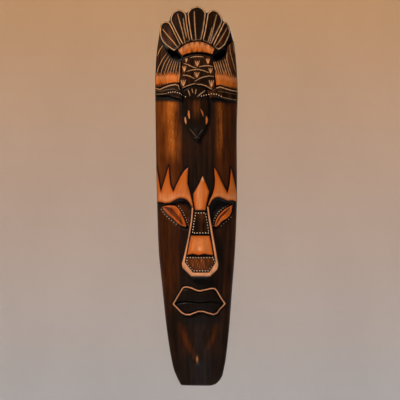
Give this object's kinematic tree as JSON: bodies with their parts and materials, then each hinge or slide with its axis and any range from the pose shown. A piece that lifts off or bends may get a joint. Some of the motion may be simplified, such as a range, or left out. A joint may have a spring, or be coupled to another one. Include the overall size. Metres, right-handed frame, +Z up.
{
  "type": "carved wooden wall mask",
  "caption": "Long carved wooden wall mask with a bird and fanned tail over a narrow face, and a ring hanger behind.",
  "frame": {"origin": "on the flat back plane, on the solid land above the hanger's pocket, midway between the two valleys beside the middle tail feather", "axes": "+X to the right of someone who faces the mask, +Z up along its length, +Y out of the back towards the wall, and the carved front faces -Y"},
  "size_m": [0.2181, 0.0836, 1.0015],
  "materials": {
    "stained_dark": "light hardwood stained almost black, waxed, semi-gloss",
    "stained_brown": "light hardwood stained reddish brown, scorched at the carved lines, satin",
    "burnished_orange": "light hardwood with a thin orange-brown stain, scorched edges, satin",
    "bare_wood": "bare light hardwood under clear wax, satin",
    "zinc_steel": "zinc plated, slightly dulled"
  },
  "bodies": {
    "mask": {"mask_body": "stained_dark", "feather_middle": "stained_dark", "feather_inner_left": "stained_dark", "feather_inner_right": "stained_dark", "feather_outer_left": "stained_dark", "feather_outer_right": "stained_dark", "feather_root_band": "burnished_orange", "wing_left": "stained_brown", "wing_right": "stained_brown", "crest_hem_left": "stained_brown", "crest_hem_right": "stained_brown", "bird_back": "stained_dark", "bird_head": "stained_dark", "brow_left": "bare_wood", "brow_right": "bare_wood", "brow_diamond": "bare_wood", "nose_frame": "bare_wood", "nose_bridge_panel": "stained_dark", "nose_middle_panel": "burnished_orange", "nose_tip_panel": "stained_brown", "eye_left": "burnished_orange", "eye_right": "burnished_orange", "mouth_rim": "bare_wood", "lip_upper": "stained_dark", "lip_lower": "stained_dark", "hanger_strap": "zinc_steel", "hanger_screw_upper": "zinc_steel", "hanger_screw_lower": "zinc_steel"},
    "ring": {"hanger_ring": "zinc_steel"}
  },
  "joints": [
    {"name": "ring_swing", "type": "hinge", "parent": "mask", "child": "ring", "pos_m": [0, -0.00315, -0.0335], "axis": [-1, 0, 0], "range_deg": [0, 175]}
  ]
}
